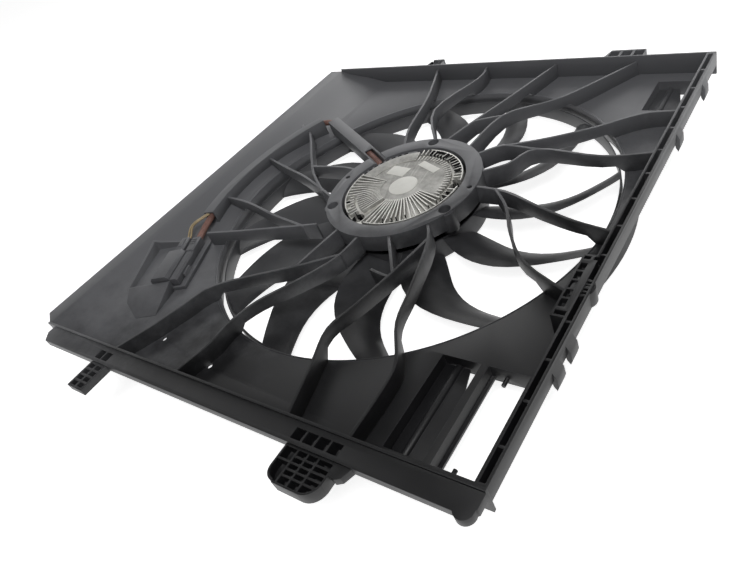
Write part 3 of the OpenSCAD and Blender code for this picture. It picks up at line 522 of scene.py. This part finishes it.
def round_edges(piece, radius_mm, from_degrees):
    """Rounds the edges sharper than an angle; the strip takes the second finish."""
    bevel = piece.modifiers.new("rounding", "BEVEL")
    bevel.width = radius_mm * MM
    bevel.segments = 2
    bevel.limit_method = "ANGLE"
    bevel.angle_limit = math.radians(from_degrees)
    # the strip's paler finish is partly wear and partly painted highlight
    bevel.material = 1
    bpy.ops.object.modifier_apply(modifier=bevel.name)
    bpy.ops.object.shade_smooth_by_angle(angle=math.radians(SMOOTH_TO_DEGREES))


def rounded(node, name, radius_mm, finish, edge_finish):
    """A copy of a solid with rounded edges, which stands for the solid."""
    piece = copy_to_edit(node, name)
    bpy.ops.mesh.dissolve_limited(angle_limit=math.radians(FLAT_WITHIN_DEGREES))
    leave_edit(piece, finish, edge_finish)
    round_edges(piece, radius_mm, ROUND_FROM_DEGREES)
    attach(piece, BODY_OF[node])
    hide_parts(node)
    return piece


# %% Rounded copies
ROUNDED_NODES = {  # node: name of its copy, radius in millimetres, finish, finish of the edges
    "shroud_panel": ("plate", 0.5, shroud_plastic, shroud_wear_and_highlight),
    "fan_duct": ("duct", 0.5, shroud_plastic, shroud_wear_and_highlight),
    "lower_frame": ("lower_side", 0.5, shroud_plastic, shroud_wear_and_highlight),
    "side_frame": ("ladder_side", 0.45, shroud_plastic, shroud_wear_and_highlight),
    "upper_frame": ("upper_side", 0.5, shroud_plastic, shroud_wear_and_highlight),
    "motor_carrier": ("motor_ring", 0.9, shroud_plastic, shroud_wear_and_highlight),
    "lower_arms": ("arms_below", 0.9, shroud_plastic, shroud_wear_and_highlight),
    "side_arms": ("arms_right", 0.9, shroud_plastic, shroud_wear_and_highlight),
    "upper_arms": ("arms_above", 0.9, shroud_plastic, shroud_wear_and_highlight),
    "left_arms": ("arms_left", 0.9, shroud_plastic, shroud_wear_and_highlight),
    "lead_channel": ("lead_duct", 0.6, shroud_plastic, shroud_wear_and_highlight),
    "plug_bracket": ("plug_tray", 0.6, shroud_plastic, shroud_wear_and_highlight),
    "power_plug": ("power_connector", 0.8, plug_plastic, plug_wear_and_highlight),
    "signal_plug": ("signal_connector", 0.8, plug_plastic, plug_wear_and_highlight),
    "heat_sink_cover": ("finned_cover", 0.3, cast_alloy, cast_wear_and_painted_light),
    "motor_base": ("motor_flange", 0.6, near_black_alloy, near_black_alloy),
    "lower_flap": ("flap_low", 0.4, wheel_plastic, wheel_wear_and_highlight),
    "upper_flap": ("flap_high", 0.4, wheel_plastic, wheel_wear_and_highlight),
    "fan_hub": ("wheel_hub", 0.6, wheel_plastic, wheel_wear_and_highlight),
    "tip_ring": ("wheel_ring", 0.5, wheel_plastic, wheel_wear_and_highlight),
    "cover_labels": ("bare_labels", 0.1, label_film, label_film),
}
dressed = {}
for node, (name, radius, finish, edge_finish) in ROUNDED_NODES.items():
    dressed[node] = rounded(node, name, radius, finish, edge_finish)
    print(name, len(dressed[node].data.polygons), "faces")

# %% [markdown]
# ## Pockets in the cover's rim
# The casting saves metal with small square pockets between the fins, and their cut faces take the
# black rubber finish as painted shade. Cutting them with one Boolean keeps the fins crisp: a block
# is added for each pocket, all blocks are joined, their edges are rounded, and the joined tool is
# taken from the cover.

# %% Pocket cutter
RIM_POCKETS = [  # first angle, step, count, middle radius, length along it, width
    (281, 7.6, 4, 65.3, 7.2, 6.2), (330.5, 7.4, 4, 66, 7.2, 6.2), (31, 11, 4, 65, 6.6, 5.2),
    (74, 7, 3, 67, 5, 4), (173, 5, 3, 66, 5, 3.6), (209, 8, 4, 67.4, 4.8, 4),
    (120, 6.6, 8, 69.7, 2.2, 5.2),
]
POCKET_FLOOR_MM = 47.6
POCKET_TOP_MM = 62
POCKET_ROUNDING_MM = 0.6


def pocket_block(angle, radius, length, width):
    """One block of the cutter, standing across the rim at an angle about the axis."""
    middle = at_axis(radius * math.cos(angle), radius * math.sin(angle),
                     (POCKET_FLOOR_MM + POCKET_TOP_MM) / 2)
    size = (length * MM, width * MM, (POCKET_TOP_MM - POCKET_FLOOR_MM) * MM)
    bpy.ops.mesh.primitive_cube_add(size=1, location=middle, rotation=(0, 0, angle), scale=size)
    bpy.ops.object.transform_apply(location=True, rotation=True, scale=True)
    return bpy.context.object


bpy.ops.object.select_all(action="DESELECT")
blocks = [pocket_block(math.radians(first + step * k), radius, length, width)
          for first, step, count, radius, length, width in RIM_POCKETS for k in range(count)]
bpy.ops.object.select_all(action="DESELECT")
for block in blocks:
    block.select_set(True)
bpy.context.view_layer.objects.active = blocks[0]
bpy.ops.object.join()
cutter = bpy.context.object
bpy.ops.object.mode_set(mode="EDIT")
bpy.ops.mesh.select_all(action="SELECT")
bpy.ops.mesh.bevel(offset=POCKET_ROUNDING_MM * MM, segments=2)
bpy.ops.object.mode_set(mode="OBJECT")
# the black rubber finish paints shade on the faces that the cutter makes
cutter.data.materials.append(seal_rubber_and_painted_shade)
print("pockets to cut:", len(blocks))

# %% Pockets cut out of the cover


def cut_pockets(piece):
    """Takes the pocket cutter's shape out of a piece."""
    pick(piece)
    cut = piece.modifiers.new("pockets", "BOOLEAN")
    cut.operation = "DIFFERENCE"
    cut.solver = "EXACT"
    # the cutter's black rubber finish paints shade on the cut walls
    cut.material_mode = "TRANSFER"  # the cut walls take the cutter's own finish
    cut.object = cutter
    bpy.ops.object.modifier_apply(modifier=cut.name)


cover = dressed["heat_sink_cover"]
cut_pockets(cover)

# %% [markdown]
# ## Floor between the fins
# The real fins look shallower than the solid's, so the floor between them comes up a little. The
# floor and the fins' tops take the pale finish, painted light that lifts the floor out of its shade
# and lights the tops. Where the pockets lie, what is below the tops takes the black rubber finish as
# painted shade, and so does a band round the rim at the floor's height.

# %% Floor between the fins
FIN_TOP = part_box("heat_sink_cover")[1].z
FIN_FLOOR = FIN_TOP - 7 * MM
FLOOR_RISE = 2.4 * MM
AT_FLOOR = 0.45 * MM  # how far a corner of the floor may be from its height
OPEN_SECTORS = [(277, 309), (327, 358), (26, 92)]  # degrees round the rim where the pockets lie
POCKETS_FROM_MM = 61.5
RIM_FROM_MM = 60
RIM_TO_MM = 71.2
RIM_HEIGHTS = (-2.6 * MM, 1.4 * MM)  # about the floor
UPWARD = 0.7  # least upward share of the normal of a floor or top
for corner in cover.data.vertices:
    if abs(corner.co.z - FIN_FLOOR) < AT_FLOOR:
        corner.co.z += FLOOR_RISE
painted_shade_slot = cover.data.materials.find(seal_rubber_and_painted_shade.name)
for face in cover.data.polygons:
    out = face.center - AXIS
    from_axis = math.hypot(out.x, out.y) / MM
    turn = math.degrees(math.atan2(out.y, out.x)) % 360
    height = face.center.z - FIN_FLOOR
    is_top = face.center.z > FIN_TOP - 0.6 * MM
    in_pockets = from_axis > POCKETS_FROM_MM and any(
        first < turn < last for first, last in OPEN_SECTORS)
    in_rim = from_axis > RIM_FROM_MM and RIM_HEIGHTS[0] < height < RIM_HEIGHTS[1]
    # painted shade: faces below the tops in the pockets and at the rim's floor take the black rubber
    # finish
    if from_axis < RIM_TO_MM and (in_pockets and not is_top or in_rim):
        face.material_index = painted_shade_slot
    elif face.material_index == 0 and face.normal.z > UPWARD and (
            is_top or abs(height - FLOOR_RISE) < 0.4 * MM):
        # painted light: the fin tops and the raised floor take the pale finish
        face.material_index = 1
print("cover faces:", len(cover.data.polygons))

# %% [markdown]
# ## Plain rim beside the lead
# Where the lead leaves, the cover has no fins: its plain top runs on to a comb of black plastic that
# closes the gap to the ring. Both are sectors of a ring, so a small upright rectangle is spun part
# of the way round the axis, which makes a closed block with two flat ends.

# %% Sectors of the rim
DEGREES_PER_STEP = 2
RIM_ROUND_FROM_DEGREES = 30


def rim_sector(name, inner_mm, outer_mm, low_mm, high_mm, first, last, finish, edge_finish):
    """A block that follows the rim from one angle to another."""
    bpy.ops.object.select_all(action="DESELECT")
    turn = math.radians(first)
    middle = (inner_mm + outer_mm) / 2
    place = at_axis(middle * math.cos(turn), middle * math.sin(turn), (low_mm + high_mm) / 2)
    bpy.ops.mesh.primitive_plane_add(size=1, location=place, rotation=(math.radians(90), 0, turn))
    piece = bpy.context.object
    piece.scale = ((outer_mm - inner_mm) * MM, (high_mm - low_mm) * MM, 1)
    bpy.ops.object.transform_apply(location=True, rotation=True, scale=True)
    piece.name = name
    bpy.ops.object.mode_set(mode="EDIT")
    bpy.ops.mesh.select_all(action="SELECT")
    # a positive angle would turn it clockwise from above, so the angle is negated
    bpy.ops.mesh.spin(steps=round((last - first) / DEGREES_PER_STEP),
                      angle=-math.radians(last - first), center=AXIS, axis=(0, 0, 1))
    bpy.ops.mesh.select_all(action="SELECT")
    bpy.ops.mesh.normals_make_consistent(inside=False)
    bpy.ops.object.mode_set(mode="OBJECT")
    piece.data.materials.append(finish)
    piece.data.materials.append(edge_finish)
    return piece


def finish_rim(piece, radius_mm):
    """Rounds the edges of a rim sector and sets it on the module."""
    pick(piece)
    round_edges(piece, radius_mm, RIM_ROUND_FROM_DEGREES)
    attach(piece, "module")
    print(piece.name, len(piece.data.polygons), "faces")


plain_rim = rim_sector("cover_plain_rim", inner_mm=51, outer_mm=67.6, low_mm=49.8, high_mm=57.1,
                       first=104, last=170, finish=cast_alloy, edge_finish=cast_wear_and_painted_light)
finish_rim(plain_rim, 0.4)
comb = rim_sector("rim_comb", inner_mm=67.8, outer_mm=71.3, low_mm=49.8, high_mm=56.6,
                  first=108, last=170, finish=shroud_plastic, edge_finish=shroud_wear_and_highlight)
cut_pockets(comb)
finish_rim(comb, 0.25)
bpy.data.objects.remove(cutter)

# %% [markdown]
# ## Hidden and small parts
# The parts inside the motor, and the screws, keep their plain solids and only get their finish.

# %% Plain solids
FINISHES = {
    "cover_seal": seal_rubber_and_painted_shade, "cover_screws": zinc_steel, "motor_screws": zinc_steel,
    "controller_board": board, "board_capacitors": sleeve, "stator_core": sheet_steel,
    "stator_coils": copper, "lower_bearing": ground_steel, "upper_bearing": ground_steel,
    "rotor_shaft": ground_steel, "retaining_ring": ground_steel, "rotor_can": zinc_steel,
    "rotor_magnets": magnet, "fan_screws": zinc_steel,
}
for name, material in FINISHES.items():
    piece = frame["nodes"][name]
    piece.data.materials.clear()
    piece.data.materials.append(material)
print("finished nodes:", len(FINISHES))

# %% [markdown]
# ## Blades
# Each blade is one swept, cambered skin. The solid is already lofted, so its copy only needs its
# triangles joined to quads and smooth shading, with the rims kept crisp.

# %% Blades
QUAD_WITHIN_DEGREES = 40
QUAD_SHAPE_DEGREES = 60
BLADE_SMOOTH_TO_DEGREES = 50


def smooth_blades():
    """A copy of the blades with smooth skins, which stands for the solid."""
    piece = copy_to_edit("fan_blades", "wheel_blades")
    bpy.ops.mesh.tris_convert_to_quads(face_threshold=math.radians(QUAD_WITHIN_DEGREES),
                                       shape_threshold=math.radians(QUAD_SHAPE_DEGREES))
    leave_edit(piece, wheel_plastic)
    bpy.ops.object.shade_smooth_by_angle(angle=math.radians(BLADE_SMOOTH_TO_DEGREES))
    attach(piece, "rotor")
    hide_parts("fan_blades")
    return piece


blades = smooth_blades()
print("blade faces:", len(blades.data.polygons))
